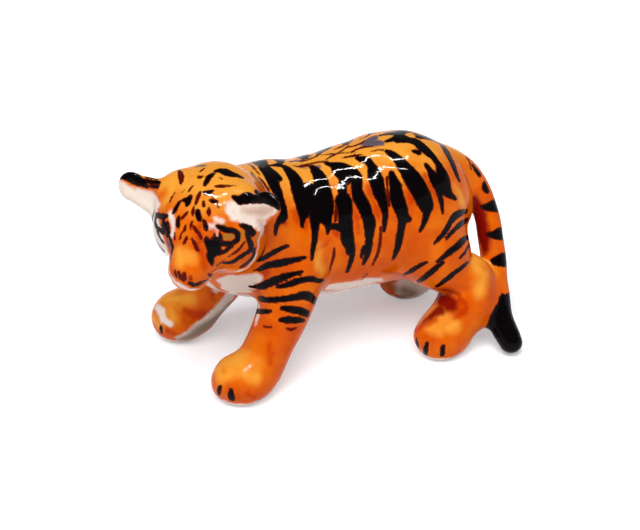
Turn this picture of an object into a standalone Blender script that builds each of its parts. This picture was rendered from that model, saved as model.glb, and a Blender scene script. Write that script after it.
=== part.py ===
"""A miniature tiger cub, modelled as one solid piece of glazed ceramic.

The cub walks with its head turned to its left and lowered. Its head points
to -X, its left flank faces -Y and it stands on four flat soles at z = 0.
Trunk, limbs, tail and ears are chains of balls with a hull between each pair,
and the head is built of ellipsoids. They are fused into one skin, smoothed
and cut flat under the paws.
"""

import math

import bmesh
import bpy
import numpy as np
from mathutils import Matrix, Vector

MM = 0.001

# Driving dimensions, in millimetres and degrees
HEAD_YAW = 47.0
HEAD_PITCH = -20.0
HEAD_CENTRE = (-20.8, -7.0, 29.1)
TRUNK_WIDTH_RATIO = 0.87
SKIN_VOXEL = 0.45
SMOOTHING_STEPS = 7
SKIN_GROWTH = 0.12
TRIANGLE_COUNT = 7000
SOLE_SNAP = 0.08
SOLE_TOLERANCE = 0.001
SPHERE_STEPS = 4
STATION_STEPS = 3

# Stations are x, y, z of a ball's centre and its radius
TRUNK = (
    (-13.5, 0.0, 21.4, 9.0),
    (-8.5, 0.0, 21.3, 10.4),
    (-1.0, 0.0, 20.9, 11.2),
    (7.0, 0.0, 21.4, 11.7),
    (12.0, 0.0, 21.9, 11.8),
    (15.0, 0.0, 21.2, 9.9),
)
NECK = (
    (-9.5, 0.0, 24.0, 8.0),
    (-13.8, -1.8, 25.6, 7.7),
    (-18.6, -5.2, 27.6, 6.9),
)
FRONT_LEFT_LEG = (
    (-5.6, -3.6, 24.5, 4.4),
    (-7.0, -5.7, 19.4, 5.3),
    (-9.2, -8.2, 13.5, 4.3),
    (-11.6, -9.4, 9.0, 3.7),
    (-14.4, -10.4, 4.8, 3.7),
)
FRONT_RIGHT_LEG = (
    (-6.6, 3.6, 24.5, 4.4),
    (-8.8, 5.7, 19.4, 5.3),
    (-12.6, 6.6, 13.5, 4.5),
    (-15.8, 7.6, 8.4, 3.9),
    (-18.0, 8.4, 5.4, 3.8),
)
HIND_LEFT_LEG = (
    (11.6, -3.2, 24.2, 5.4),
    (13.9, -4.7, 19.8, 6.2),
    (16.3, -6.2, 15.8, 5.6),
    (18.4, -7.3, 12.8, 4.1),
    (21.3, -8.3, 10.6, 4.0),
    (20.8, -9.1, 7.2, 4.6),
    (17.8, -9.9, 4.6, 3.9),
)
HIND_RIGHT_LEG = (
    (11.8, 3.2, 24.2, 5.4),
    (14.2, 4.7, 19.8, 6.2),
    (16.2, 6.2, 15.4, 5.4),
    (21.2, 7.2, 11.4, 4.5),
    (21.8, 7.8, 7.4, 4.5),
    (20.0, 8.0, 4.5, 3.8),
)
TAIL = (
    (14.5, 0.0, 27.6, 4.3),
    (20.0, -0.2, 27.3, 3.2),
    (24.1, -0.8, 24.8, 2.3),
    (26.3, -2.4, 20.5, 2.0),
    (26.8, -4.4, 16.0, 2.0),
    (26.5, -6.6, 12.0, 2.0),
    (25.9, -9.0, 8.4, 2.05),
    (25.3, -12.0, 5.0, 2.1),
    (25.8, -15.1, 2.1, 1.85),
)

# Paws are an ellipsoid's centre and its half sizes along X, Y and Z
PAWS = (
    ((-17.5, -11.2, 3.4), (4.9, 4.4, 3.9)),
    ((-20.3, 9.2, 3.7), (4.8, 4.5, 4.1)),
    ((15.9, -10.9, 3.2), (4.5, 4.2, 3.7)),
    ((18.0, 8.2, 3.2), (4.5, 4.2, 3.7)),
)

# Head lumps are given in the head's own axes: forward, left and up
SKULL = ((-0.2, 0.0, 0.1), (7.7, 8.4, 7.0))
NAPE = ((-4.2, 0.0, 0.7), (5.2, 6.6, 5.6))
CHEEK = ((1.2, 4.0, -2.6), (3.9, 4.1, 4.3))
EAR_ROOT = ((-1.8, 5.3, 3.4), (3.0, 2.7, 2.7))
CHIN = ((7.0, 0.0, -3.3), (2.8, 2.5, 1.7))
MUZZLE_BACK = (3.2, 0.0, -0.4)
MUZZLE_BACK_RADIUS = 5.0
MUZZLE_FRONT = (8.1, 0.0, -1.3)
MUZZLE_FRONT_RADIUS = 3.25

# Each ear is a flat dished flap that reaches out sideways
EAR_BASE = (0.0, 6.2, 2.6)
EAR_TIP_FORWARD = -0.5
LEFT_EAR_LIFT = 5.5
LEFT_EAR_REACH = 9.9
RIGHT_EAR_LIFT = 4.2
RIGHT_EAR_REACH = 11.8
EAR_BASE_RADIUS = 3.4
EAR_TIP_RADIUS = 2.2
EAR_THICKNESS_RATIO = 0.42
EAR_FACING = (0.80, 0.0, 0.60)
EAR_HOLLOW_START = 1.4
EAR_HOLLOW_BASE_RADIUS = 2.4
EAR_HOLLOW_TIP_RADIUS = 1.45
EAR_HOLLOW_OFFSET = 1.25


def clear_scene() -> None:
    """Remove every object so that the model starts from an empty scene."""
    for item in list(bpy.data.objects):
        bpy.data.objects.remove(item, do_unlink=True)


def head_axes() -> Matrix:
    """Return the head's placement, with columns forward, left and up."""
    yaw = math.radians(HEAD_YAW)
    pitch = math.radians(HEAD_PITCH)
    level = Vector((-math.cos(yaw), -math.sin(yaw), 0.0))
    left = Vector((-level.y, level.x, 0.0))
    forward = level * math.cos(pitch) + Vector((0.0, 0.0, math.sin(pitch)))
    up = forward.cross(left)
    axes = Matrix((forward, left, up)).transposed().to_4x4()
    return Matrix.Translation(Vector(HEAD_CENTRE)) @ axes


def smooth_stations(stations: tuple) -> np.ndarray:
    """Return more stations on a Catmull-Rom curve through the given ones."""
    points = np.array(stations, dtype=float)
    before = 2.0 * points[0] - points[1]
    after = 2.0 * points[-1] - points[-2]
    padded = np.vstack([before, points, after])
    result = []
    for index in range(len(points) - 1):
        p0, p1, p2, p3 = padded[index:index + 4]
        for step in range(STATION_STEPS):
            t = step / STATION_STEPS
            linear = (p2 - p0) * t
            square = (2.0 * p0 - 5.0 * p1 + 4.0 * p2 - p3) * t ** 2
            cubic = (3.0 * p1 - p0 - 3.0 * p2 + p3) * t ** 3
            result.append(0.5 * (2.0 * p1 + linear + square + cubic))
    result.append(points[-1])
    return np.array(result)


def add_ellipsoid(form: bmesh.types.BMesh, centre, radii, placement=None) -> list:
    """Add one closed ellipsoid and return its vertices."""
    grown = [radius + SKIN_GROWTH for radius in radii]
    shape = Matrix.Translation(Vector(centre)) @ Matrix.Diagonal((*grown, 1.0))
    if placement is not None:
        shape = placement @ shape
    made = bmesh.ops.create_icosphere(form, subdivisions=SPHERE_STEPS, radius=1.0, matrix=shape)
    return made["verts"]


def add_link(form: bmesh.types.BMesh, start, end, placement=None) -> None:
    """Add the closed hull around two balls, each given as x, y, z and radius."""
    link = bmesh.new()
    for station in (start, end):
        add_ellipsoid(link, station[:3], (station[3],) * 3, placement)
    hull = bmesh.ops.convex_hull(link, input=link.verts, use_existing_faces=False)
    inside = [item for item in hull["geom_interior"] if isinstance(item, bmesh.types.BMVert)]
    bmesh.ops.delete(link, geom=inside, context="VERTS")
    loose = [vert for vert in link.verts if not vert.link_faces]
    bmesh.ops.delete(link, geom=loose, context="VERTS")
    outer = set(hull["geom"])
    stray = [face for face in link.faces if face not in outer]
    bmesh.ops.delete(link, geom=stray, context="FACES_ONLY")
    bmesh.ops.recalc_face_normals(link, faces=link.faces)
    mesh = bpy.data.meshes.new("link")
    link.to_mesh(mesh)
    link.free()
    form.from_mesh(mesh)
    bpy.data.meshes.remove(mesh)


def add_chain(form: bmesh.types.BMesh, stations, placement=None) -> None:
    """Add the links of one limb."""
    for start, end in zip(stations[:-1], stations[1:]):
        add_link(form, tuple(start), tuple(end), placement)


def to_object(form: bmesh.types.BMesh, name: str) -> bpy.types.Object:
    """Turn a form, built in millimetres, into an object in metres."""
    bmesh.ops.scale(form, vec=(MM, MM, MM), verts=form.verts)
    mesh = bpy.data.meshes.new(name)
    form.to_mesh(mesh)
    form.free()
    item = bpy.data.objects.new(name, mesh)
    bpy.context.scene.collection.objects.link(item)
    return item


def evaluated_mesh(item: bpy.types.Object, name: str) -> bpy.types.Mesh:
    """Return a copy of an object's mesh with its modifiers applied."""
    bpy.context.view_layer.update()
    graph = bpy.context.evaluated_depsgraph_get()
    return bpy.data.meshes.new_from_object(item.evaluated_get(graph)).copy()


def ear_frame(side: int, reach: float, lift: float) -> tuple:
    """Return an ear's placement, along its length, width and facing, and its length."""
    base = Vector((EAR_BASE[0], side * EAR_BASE[1], EAR_BASE[2]))
    tip = Vector((EAR_TIP_FORWARD, side * reach, lift))
    along = (tip - base).normalized()
    facing = Vector(EAR_FACING)
    facing = (facing - along * facing.dot(along)).normalized()
    across = facing.cross(along)
    axes = Matrix((along, across, facing)).transposed().to_4x4()
    placement = head_axes() @ Matrix.Translation(base) @ axes
    return placement, (tip - base).length


def make_ear(side: int, reach: float, lift: float) -> bpy.types.Mesh:
    """Build one ear: a flat flap with its hollow cut out of the front."""
    placement, length = ear_frame(side, reach, lift)
    squash = Matrix.Diagonal((1.0, 1.0, EAR_THICKNESS_RATIO, 1.0))
    flap_form = bmesh.new()
    root = (0.0, 0.0, 0.0, EAR_BASE_RADIUS)
    tip = (length, 0.0, 0.0, EAR_TIP_RADIUS)
    add_link(flap_form, root, tip, placement @ squash)
    flap = to_object(flap_form, "ear_flap")
    hollow_form = bmesh.new()
    outward = Matrix.Translation(Vector((0.0, 0.0, EAR_HOLLOW_OFFSET)))
    start = (EAR_HOLLOW_START, 0.0, 0.0, EAR_HOLLOW_BASE_RADIUS)
    end = (length, 0.0, 0.0, EAR_HOLLOW_TIP_RADIUS)
    add_link(hollow_form, start, end, placement @ outward @ squash)
    hollow = to_object(hollow_form, "ear_hollow")
    cut = flap.modifiers.new("hollow", "BOOLEAN")
    cut.operation = "DIFFERENCE"
    cut.solver = "EXACT"
    cut.object = hollow
    mesh = evaluated_mesh(flap, "ear")
    bpy.data.objects.remove(flap, do_unlink=True)
    bpy.data.objects.remove(hollow, do_unlink=True)
    return mesh


def add_head(form: bmesh.types.BMesh) -> None:
    """Add the skull, nape, cheeks, muzzle and chin."""
    placement = head_axes()
    for centre, radii in (SKULL, NAPE, CHIN):
        add_ellipsoid(form, centre, radii, placement)
    for centre, radii in (CHEEK, EAR_ROOT):
        for side in (1, -1):
            add_ellipsoid(form, (centre[0], side * centre[1], centre[2]), radii, placement)
    back = (*MUZZLE_BACK, MUZZLE_BACK_RADIUS)
    front = (*MUZZLE_FRONT, MUZZLE_FRONT_RADIUS)
    add_link(form, back, front, placement)


def build_masses() -> bpy.types.Object:
    """Return one object that holds all the overlapping masses of the cub."""
    form = bmesh.new()
    sideways = Matrix.Diagonal((1.0, TRUNK_WIDTH_RATIO, 1.0, 1.0))
    add_chain(form, smooth_stations(TRUNK), sideways)
    add_chain(form, smooth_stations(NECK))
    legs = (FRONT_LEFT_LEG, FRONT_RIGHT_LEG, HIND_LEFT_LEG, HIND_RIGHT_LEG)
    for leg in legs:
        add_chain(form, smooth_stations(leg))
    add_chain(form, smooth_stations(TAIL))
    for centre, radii in PAWS:
        add_ellipsoid(form, centre, radii)
    add_head(form)
    body = to_object(form, "tiger")
    joined = bmesh.new()
    joined.from_mesh(body.data)
    ears = ((1, LEFT_EAR_REACH, LEFT_EAR_LIFT), (-1, RIGHT_EAR_REACH, RIGHT_EAR_LIFT))
    for side, reach, lift in ears:
        joined.from_mesh(make_ear(side, reach, lift))
    joined.to_mesh(body.data)
    joined.free()
    return body


def fuse(body: bpy.types.Object) -> bpy.types.Mesh:
    """Fuse the masses into one smooth skin of a moderate number of triangles."""
    skin = body.modifiers.new("skin", "REMESH")
    skin.mode = "VOXEL"
    skin.voxel_size = SKIN_VOXEL * MM
    soften = body.modifiers.new("soften", "SMOOTH")
    soften.factor = 0.5
    soften.iterations = SMOOTHING_STEPS
    faces = len(evaluated_mesh(body, "count").polygons)
    thin = body.modifiers.new("thin", "DECIMATE")
    thin.decimate_type = "COLLAPSE"
    thin.ratio = TRIANGLE_COUNT / (2.0 * faces)
    thin.use_collapse_triangulate = True
    return evaluated_mesh(body, "tiger")


def cut_soles(mesh: bpy.types.Mesh) -> None:
    """Cut the paws flat at the ground and put the box's bottom centre at the origin."""
    form = bmesh.new()
    form.from_mesh(mesh)
    for vert in form.verts:
        if abs(vert.co.z) < SOLE_SNAP * MM:
            vert.co.z = 0.0
    geometry = list(form.verts) + list(form.edges) + list(form.faces)
    bmesh.ops.bisect_plane(form, geom=geometry, dist=SOLE_TOLERANCE * MM, plane_co=(0.0, 0.0, 0.0),
                           plane_no=(0.0, 0.0, 1.0), clear_inner=True)
    rims = [edge for edge in form.edges if edge.is_boundary]
    bmesh.ops.holes_fill(form, edges=rims, sides=0)
    bmesh.ops.triangulate(form, faces=form.faces)
    bmesh.ops.recalc_face_normals(form, faces=form.faces)
    places = np.array([vert.co for vert in form.verts])
    middle = (places.min(axis=0) + places.max(axis=0)) / 2.0
    shift = Vector((-middle[0], -middle[1], -places[:, 2].min()))
    bmesh.ops.translate(form, vec=shift, verts=form.verts)
    form.to_mesh(mesh)
    form.free()


def glaze() -> bpy.types.Material:
    """Return the orange glazed ceramic that the whole cub is made of."""
    material = bpy.data.materials.new("glazed_ceramic")
    material.use_nodes = True
    shader = material.node_tree.nodes["Principled BSDF"]
    shader.inputs["Base Color"].default_value = (0.84, 0.25, 0.02, 1.0)
    shader.inputs["Roughness"].default_value = 0.12
    shader.inputs["Metallic"].default_value = 0.0
    return material


def main() -> None:
    """Build the cub."""
    clear_scene()
    masses = build_masses()
    mesh = fuse(masses)
    cut_soles(mesh)
    masses.modifiers.clear()
    masses.data = mesh
    mesh.shade_smooth()
    mesh.materials.append(glaze())


main()
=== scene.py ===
"""Look of a small glazed ceramic tiger cub, painted by hand.

The cub is one fired piece: modelled clay, brush-painted in orange, black and
cream, under a clear glossy glaze. Shapes are worked out in millimetres in the
modeller's own frame: head towards -X, left flank towards -Y, soles at z = 0.
"""

import logging
import math
from dataclasses import dataclass
from enum import Enum
from typing import Callable

import bpy
import numpy as np
from mathutils import Matrix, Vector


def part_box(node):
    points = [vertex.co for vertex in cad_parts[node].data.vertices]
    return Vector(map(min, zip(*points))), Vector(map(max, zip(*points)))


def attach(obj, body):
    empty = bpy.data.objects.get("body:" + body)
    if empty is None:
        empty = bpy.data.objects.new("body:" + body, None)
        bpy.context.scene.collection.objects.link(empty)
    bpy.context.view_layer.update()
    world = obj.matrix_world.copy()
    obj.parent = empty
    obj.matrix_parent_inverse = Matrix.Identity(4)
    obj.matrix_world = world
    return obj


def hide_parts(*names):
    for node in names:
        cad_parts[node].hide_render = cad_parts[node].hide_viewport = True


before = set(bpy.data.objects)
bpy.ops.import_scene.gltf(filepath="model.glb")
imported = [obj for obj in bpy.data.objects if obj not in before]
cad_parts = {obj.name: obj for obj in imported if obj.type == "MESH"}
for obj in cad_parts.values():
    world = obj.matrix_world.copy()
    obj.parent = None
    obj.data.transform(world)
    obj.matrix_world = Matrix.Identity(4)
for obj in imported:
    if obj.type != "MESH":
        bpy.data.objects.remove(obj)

LOG = logging.getLogger("tiger_cub")
MM = 0.001
NODE = "tiger"
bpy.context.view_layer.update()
CHAIN_FILLET = 0.12  # mm, between neighbouring hulls of a chain
NEAR = 3.0  # mm around a part's box in which it is joined; no fillet is wider
DEEP = 3.0  # mm; the depth of paint is cut off here, inside and outside


def unit(vector: np.ndarray) -> np.ndarray:
    """Return vectors divided by their own lengths."""
    vector = np.asarray(vector, dtype=float)
    return vector / np.linalg.norm(vector, axis=-1, keepdims=True)


def blend_union(first: np.ndarray, second: np.ndarray, width: float) -> np.ndarray:
    """Join two distance fields with a fillet.

    The lower of the two distances, less a quarter of the width times the
    square of how close they are to each other, as a share of the width.

    Args:
        first: One distance field.
        second: The other distance field.
        width: How near the two must be for the fillet to start, in mm.

    Returns:
        The joined distance field.
    """
    share = np.maximum(width - np.abs(first - second), 0.0) / width
    return np.minimum(first, second) - share * share * width * 0.25


def blend_cut(first: np.ndarray, second: np.ndarray, width: float) -> np.ndarray:
    """Keep what two distance fields share, with a rounded edge.

    Args:
        first: One distance field.
        second: The other distance field.
        width: The width of the rounding, in mm.

    Returns:
        The shared distance field.
    """
    return -blend_union(-first, -second, width)


def curve_stations(stations: np.ndarray, steps: int) -> np.ndarray:
    """Add stations on a Catmull-Rom curve through the given ones.

    Each stretch is the cubic that passes its two ends with the slope of the
    chord between their neighbours.

    Args:
        stations: One row per station, any number of columns.
        steps: How many stretches each one becomes.

    Returns:
        The longer array of stations.
    """
    points = np.asarray(stations, dtype=float)
    padded = np.vstack([2.0 * points[0] - points[1], points, 2.0 * points[-1] - points[-2]])
    t = np.arange(steps)[None, :, None] / steps
    p0, p1, p2, p3 = (padded[i:i + len(points) - 1, None, :] for i in range(4))
    rising = (p2 - p0) * t + (2.0 * p0 - 5.0 * p1 + 4.0 * p2 - p3) * t ** 2
    cubic = (3.0 * p1 - p0 - 3.0 * p2 + p3) * t ** 3
    dense = 0.5 * (2.0 * p1 + rising + cubic)
    return np.vstack([dense.reshape(-1, points.shape[1]), points[-1]])


def ellipsoid(points: np.ndarray, centre: np.ndarray, radii: tuple,
              axes: np.ndarray) -> np.ndarray:
    """Return the distance to an ellipsoid.

    The length of the scaled offset, less one, times that length over the
    length of the offset scaled twice, which is close to the true distance.

    Args:
        points: The places, in mm.
        centre: The ellipsoid's centre.
        radii: Its half sizes along its own axes.
        axes: Its own axes, one per row.

    Returns:
        The signed distance, negative inside.
    """
    local = (points - centre) @ axes.T
    once = np.linalg.norm(local / radii, axis=-1)
    twice = np.linalg.norm(local / np.square(radii), axis=-1)
    return once * (once - 1.0) / np.maximum(twice, 1e-9)


def link_distance(points: np.ndarray, start: np.ndarray, end: np.ndarray) -> np.ndarray:
    """Return the distance to the hull of two balls.

    A point's place along the axis is moved by the hull's taper, and the ball
    at that place gives the distance.

    Args:
        points: The places, in mm.
        start: One ball, as x, y, z and radius.
        end: The other ball.

    Returns:
        The signed distance, negative inside.
    """
    axis = end[:3] - start[:3]
    length = np.linalg.norm(axis)
    offset = points - start[:3]
    along = offset @ (axis / length)
    across = np.sqrt(np.maximum(np.sum(offset * offset, axis=-1) - along * along, 0.0))
    taper = (start[3] - end[3]) / length
    slope = math.sqrt(max(1.0 - taper * taper, 1e-6))
    share = np.clip((along + across * taper / slope) / length, 0.0, 1.0)
    gap = np.sqrt(np.square(along - share * length) + np.square(across))
    return gap - (start[3] + (end[3] - start[3]) * share)


def chain_distance(points: np.ndarray, stations: np.ndarray, width: float) -> np.ndarray:
    """Return the distance to a chain of balls with a hull between each pair.

    Args:
        points: The places, in mm.
        stations: The balls, as x, y, z and radius.
        width: The fillet between neighbouring hulls.

    Returns:
        The signed distance, negative inside.
    """
    result = link_distance(points, stations[0], stations[1])
    for start, end in zip(stations[1:-1], stations[2:]):
        result = blend_union(result, link_distance(points, start, end), width)
    return result


def join_near(result: np.ndarray, points: np.ndarray, part: Callable, box: np.ndarray,
              width: float | np.ndarray) -> np.ndarray:
    """Join a part to a distance field, only at the points near the part.

    Args:
        result: The distance field so far.
        points: The places, in mm.
        part: The function that gives the part's distance.
        box: The part's lowest and highest corner.
        width: The width of the fillet, one for all or one for each place.

    Returns:
        The joined distance field.
    """
    near = np.all((points > box[0] - NEAR) & (points < box[1] + NEAR), axis=-1)
    joined = result.copy()
    widths = width[near] if isinstance(width, np.ndarray) else width
    joined[near] = blend_union(result[near], part(points[near]), widths)
    return joined


def station_box(stations: np.ndarray) -> np.ndarray:
    """Return the lowest and highest corner of a chain of balls."""
    low = stations[:, :3] - stations[:, 3:]
    high = stations[:, :3] + stations[:, 3:]
    return np.stack([low.min(axis=0), high.max(axis=0)])


class Side(Enum):
    """The cub's own left and right."""

    LEFT = -1
    RIGHT = 1


class Coat(Enum):
    """The colours laid on the clay, one mesh attribute each: the painter's colours, and painted
    light and painted shade.
    """

    INK = "ink"
    UMBER = "umber"
    CREAM = "cream"
    RUST = "rust"
    SMOKE = "smoke"
    PAINTED_LIGHT = "painted_light"
    CRIMSON = "crimson"
    OCHRE = "ochre"
    PAINTED_SHADE = "painted_shade"
    BLUSH_AND_SHADE = "blush_and_shade"


@dataclass
class Trunk:
    """The barrel of the body with the neck, as chains of balls.

    The barrel is narrowed sideways, and its distance is scaled to fit that.
    """

    flatten: float = 0.87
    distance_share: float = 0.93
    neck_fillet: float = 3.0
    barrel: tuple = (
        (-13.5, 0.0, 21.4, 9.0), (-8.5, 0.0, 21.3, 10.4), (-1.0, 0.0, 20.9, 11.2),
        (7.0, 0.0, 21.4, 11.7), (12.0, 0.0, 21.9, 11.8), (15.0, 0.0, 21.2, 9.9))
    neck: tuple = ((-9.5, 0.0, 24.0, 8.0), (-13.8, -1.8, 25.6, 7.7), (-18.6, -5.2, 27.6, 6.9))

    def distance(self, points: np.ndarray) -> np.ndarray:
        """Return the distance to the trunk, which is narrowed sideways.

        Args:
            points: The places, in mm.

        Returns:
            The signed distance, negative inside.
        """
        narrow = points / np.array([1.0, self.flatten, 1.0])
        barrel = chain_distance(narrow, curve_stations(self.barrel, 8), CHAIN_FILLET)
        neck = chain_distance(points, curve_stations(self.neck, 6), CHAIN_FILLET)
        return blend_union(self.distance_share * barrel, neck, self.neck_fillet)


@dataclass
class Leg:
    """One leg: a chain of balls and a round paw."""

    stations: tuple
    paw_centre: tuple
    paw_radii: tuple
    paw_fillet: float = 1.5

    def axis(self) -> np.ndarray:
        """Return the leg's stations on a smooth curve."""
        return curve_stations(self.stations, 6)

    def bounds(self) -> np.ndarray:
        """Return the box around the leg and its paw."""
        centre, radii = np.array(self.paw_centre), np.array(self.paw_radii)
        chain = station_box(self.axis())
        return np.stack([np.minimum(chain[0], centre - radii),
                         np.maximum(chain[1], centre + radii)])

    def distance(self, points: np.ndarray) -> np.ndarray:
        """Return the distance to the leg and its paw.

        Args:
            points: The places, in mm.

        Returns:
            The signed distance, negative inside.
        """
        shank = chain_distance(points, self.axis(), CHAIN_FILLET)
        paw = ellipsoid(points, np.array(self.paw_centre), self.paw_radii, np.eye(3))
        return blend_union(shank, paw, self.paw_fillet)


@dataclass
class Tail:
    """The tail, which hangs from the rump and leans on the left hock."""

    stations: tuple = (
        (14.5, 0.0, 27.6, 4.3), (20.0, -0.2, 27.3, 3.2), (24.1, -0.8, 24.8, 2.3),
        (26.3, -2.4, 20.5, 2.0), (26.8, -4.4, 16.0, 2.0), (26.5, -6.6, 12.0, 2.0),
        (25.9, -9.0, 8.4, 2.05), (25.3, -12.0, 5.0, 2.1), (25.8, -15.1, 2.1, 1.85))

    def bounds(self) -> np.ndarray:
        """Return the box around the tail."""
        return station_box(curve_stations(self.stations, 6))

    def distance(self, points: np.ndarray) -> np.ndarray:
        """Return the distance to the tail."""
        return chain_distance(points, curve_stations(self.stations, 6), CHAIN_FILLET)


@dataclass
class Ear:
    """A flat flap with a hollow in its front.

    It faces partly forward and partly up, by the two shares in facing.
    """

    side: Side
    head: "Head"
    reach: float
    base: tuple = (0.0, 6.2, 2.6)
    tip_forward: float = -0.5
    tip_up: float = 4.2
    flatten: float = 0.42
    base_radius: float = 3.4
    tip_radius: float = 2.2
    hollow_start: float = 1.4
    hollow_radii: tuple = (2.4, 1.45)
    hollow_offset: float = 1.25
    facing: tuple = (0.80, 0.60)
    distance_share: float = 0.55
    hull_fillet: float = 0.2
    rim_rounding: float = 0.5

    def distance(self, points: np.ndarray) -> np.ndarray:
        """Return the distance to the ear.

        A hull of two balls, squashed along the way the ear faces, with a
        smaller one cut out of its front.

        Args:
            points: The places, in mm.

        Returns:
            The signed distance, negative inside.
        """
        hand = -self.side.value
        head = self.head
        base = head.place(self.base[0], hand * self.base[1], self.base[2])
        tip = head.place(self.tip_forward, hand * self.reach, self.tip_up)
        along = unit(tip - base)
        facing = self.facing[0] * head.forward + self.facing[1] * head.up
        facing = unit(facing - along * (facing @ along))
        across = np.cross(facing, along)
        local = (points - base) @ np.stack([along, across, facing]).T
        length = float(np.linalg.norm(tip - base))
        squash = np.array([1.0, 1.0, 1.0 / self.flatten])
        flap = np.array([[0.0, 0.0, 0.0, self.base_radius], [length, 0.0, 0.0, self.tip_radius]])
        hollow = np.array([[self.hollow_start, 0.0, 0.0, self.hollow_radii[0]],
                           [length, 0.0, 0.0, self.hollow_radii[1]]])
        outer = self.distance_share * chain_distance(local * squash, flap, self.hull_fillet)
        lifted = (local - np.array([0.0, 0.0, self.hollow_offset])) * squash
        inner = self.distance_share * chain_distance(lifted, hollow, self.hull_fillet)
        return blend_cut(outer, -inner, self.rim_rounding)


class Head:
    """The head: skull, nape, cheeks, muzzle, chin and two ears.

    Places are forward, left and up from the head's centre. Each mass has its
    place, its radii and the fillet that joins it, in mm. The muzzle is the
    hull of two balls.
    """

    yaw_degrees = 47.0
    pitch_degrees = -20.0
    box_reach = 15.5
    skull = ((-0.2, 0.0, 0.1), (7.7, 8.4, 7.0))
    nape = ((-4.2, 0.0, 0.7), (5.2, 6.6, 5.6), 2.0)
    left_cheek = ((1.2, 4.0, -2.6), (3.9, 4.1, 4.3), 1.5)
    left_ear_root = ((-1.8, 5.3, 3.4), (3.0, 2.7, 2.7), 2.0)
    right_cheek = ((1.2, -4.0, -2.6), (3.9, 4.1, 4.3), 1.5)
    right_ear_root = ((-1.8, -5.3, 3.4), (3.0, 2.7, 2.7), 2.0)
    muzzle = ((3.2, 0.0, -0.4, 5.0), (8.1, 0.0, -1.3, 3.25))
    muzzle_fillet = 2.0
    chin = ((7.0, 0.0, -3.3), (2.8, 2.5, 1.7), 1.2)

    def __init__(self) -> None:
        """Set the head's place and axes: it is turned left and lowered."""
        yaw, pitch = math.radians(self.yaw_degrees), math.radians(self.pitch_degrees)
        level = np.array([-math.cos(yaw), -math.sin(yaw), 0.0])
        self.centre = np.array([-20.8, -7.0, 29.1])
        self.forward = level * math.cos(pitch) + np.array([0.0, 0.0, math.sin(pitch)])
        self.left = np.array([-level[1], level[0], 0.0])
        self.up = np.cross(self.forward, self.left)
        self.axes = np.stack([self.forward, self.left, self.up])
        self.ears = (Ear(Side.LEFT, self, 9.9, tip_up=5.5), Ear(Side.RIGHT, self, 11.8))

    def place(self, forward: float, left: float, up: float) -> np.ndarray:
        """Return the place of a point given in the head's own axes."""
        return self.centre + np.array([forward, left, up]) @ self.axes

    def bounds(self) -> np.ndarray:
        """Return the box around the head and its ears."""
        return np.stack([self.centre - self.box_reach, self.centre + self.box_reach])

    def mirror(self, points: np.ndarray, turn: float) -> np.ndarray:
        """Return points on the face's other side.

        Args:
            points: The places, in mm.
            turn: How far they are turned outwards, in radians.

        Returns:
            The mirrored places.
        """
        local = (points - self.centre) @ self.axes.T
        forward, left, up = local.T
        turned = np.stack([forward * math.cos(turn) - left * math.sin(turn),
                           -forward * math.sin(turn) - left * math.cos(turn), up], axis=-1)
        return self.centre + turned @ self.axes

    def distance(self, points: np.ndarray) -> np.ndarray:
        """Return the distance to the head without its ears.

        Args:
            points: The places, in mm.

        Returns:
            The signed distance, negative inside.
        """
        result = ellipsoid(points, self.place(*self.skull[0]), self.skull[1], self.axes)
        for place, radii, fillet in (self.nape, self.left_cheek, self.left_ear_root,
                                     self.right_cheek, self.right_ear_root):
            mass = ellipsoid(points, self.place(*place), radii, self.axes)
            result = blend_union(result, mass, fillet)
        back, front = (np.append(self.place(*ball[:3]), ball[3]) for ball in self.muzzle)
        result = blend_union(result, link_distance(points, back, front), self.muzzle_fillet)
        place, radii, fillet = self.chin
        return blend_union(result, ellipsoid(points, self.place(*place), radii, self.axes), fillet)


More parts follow.
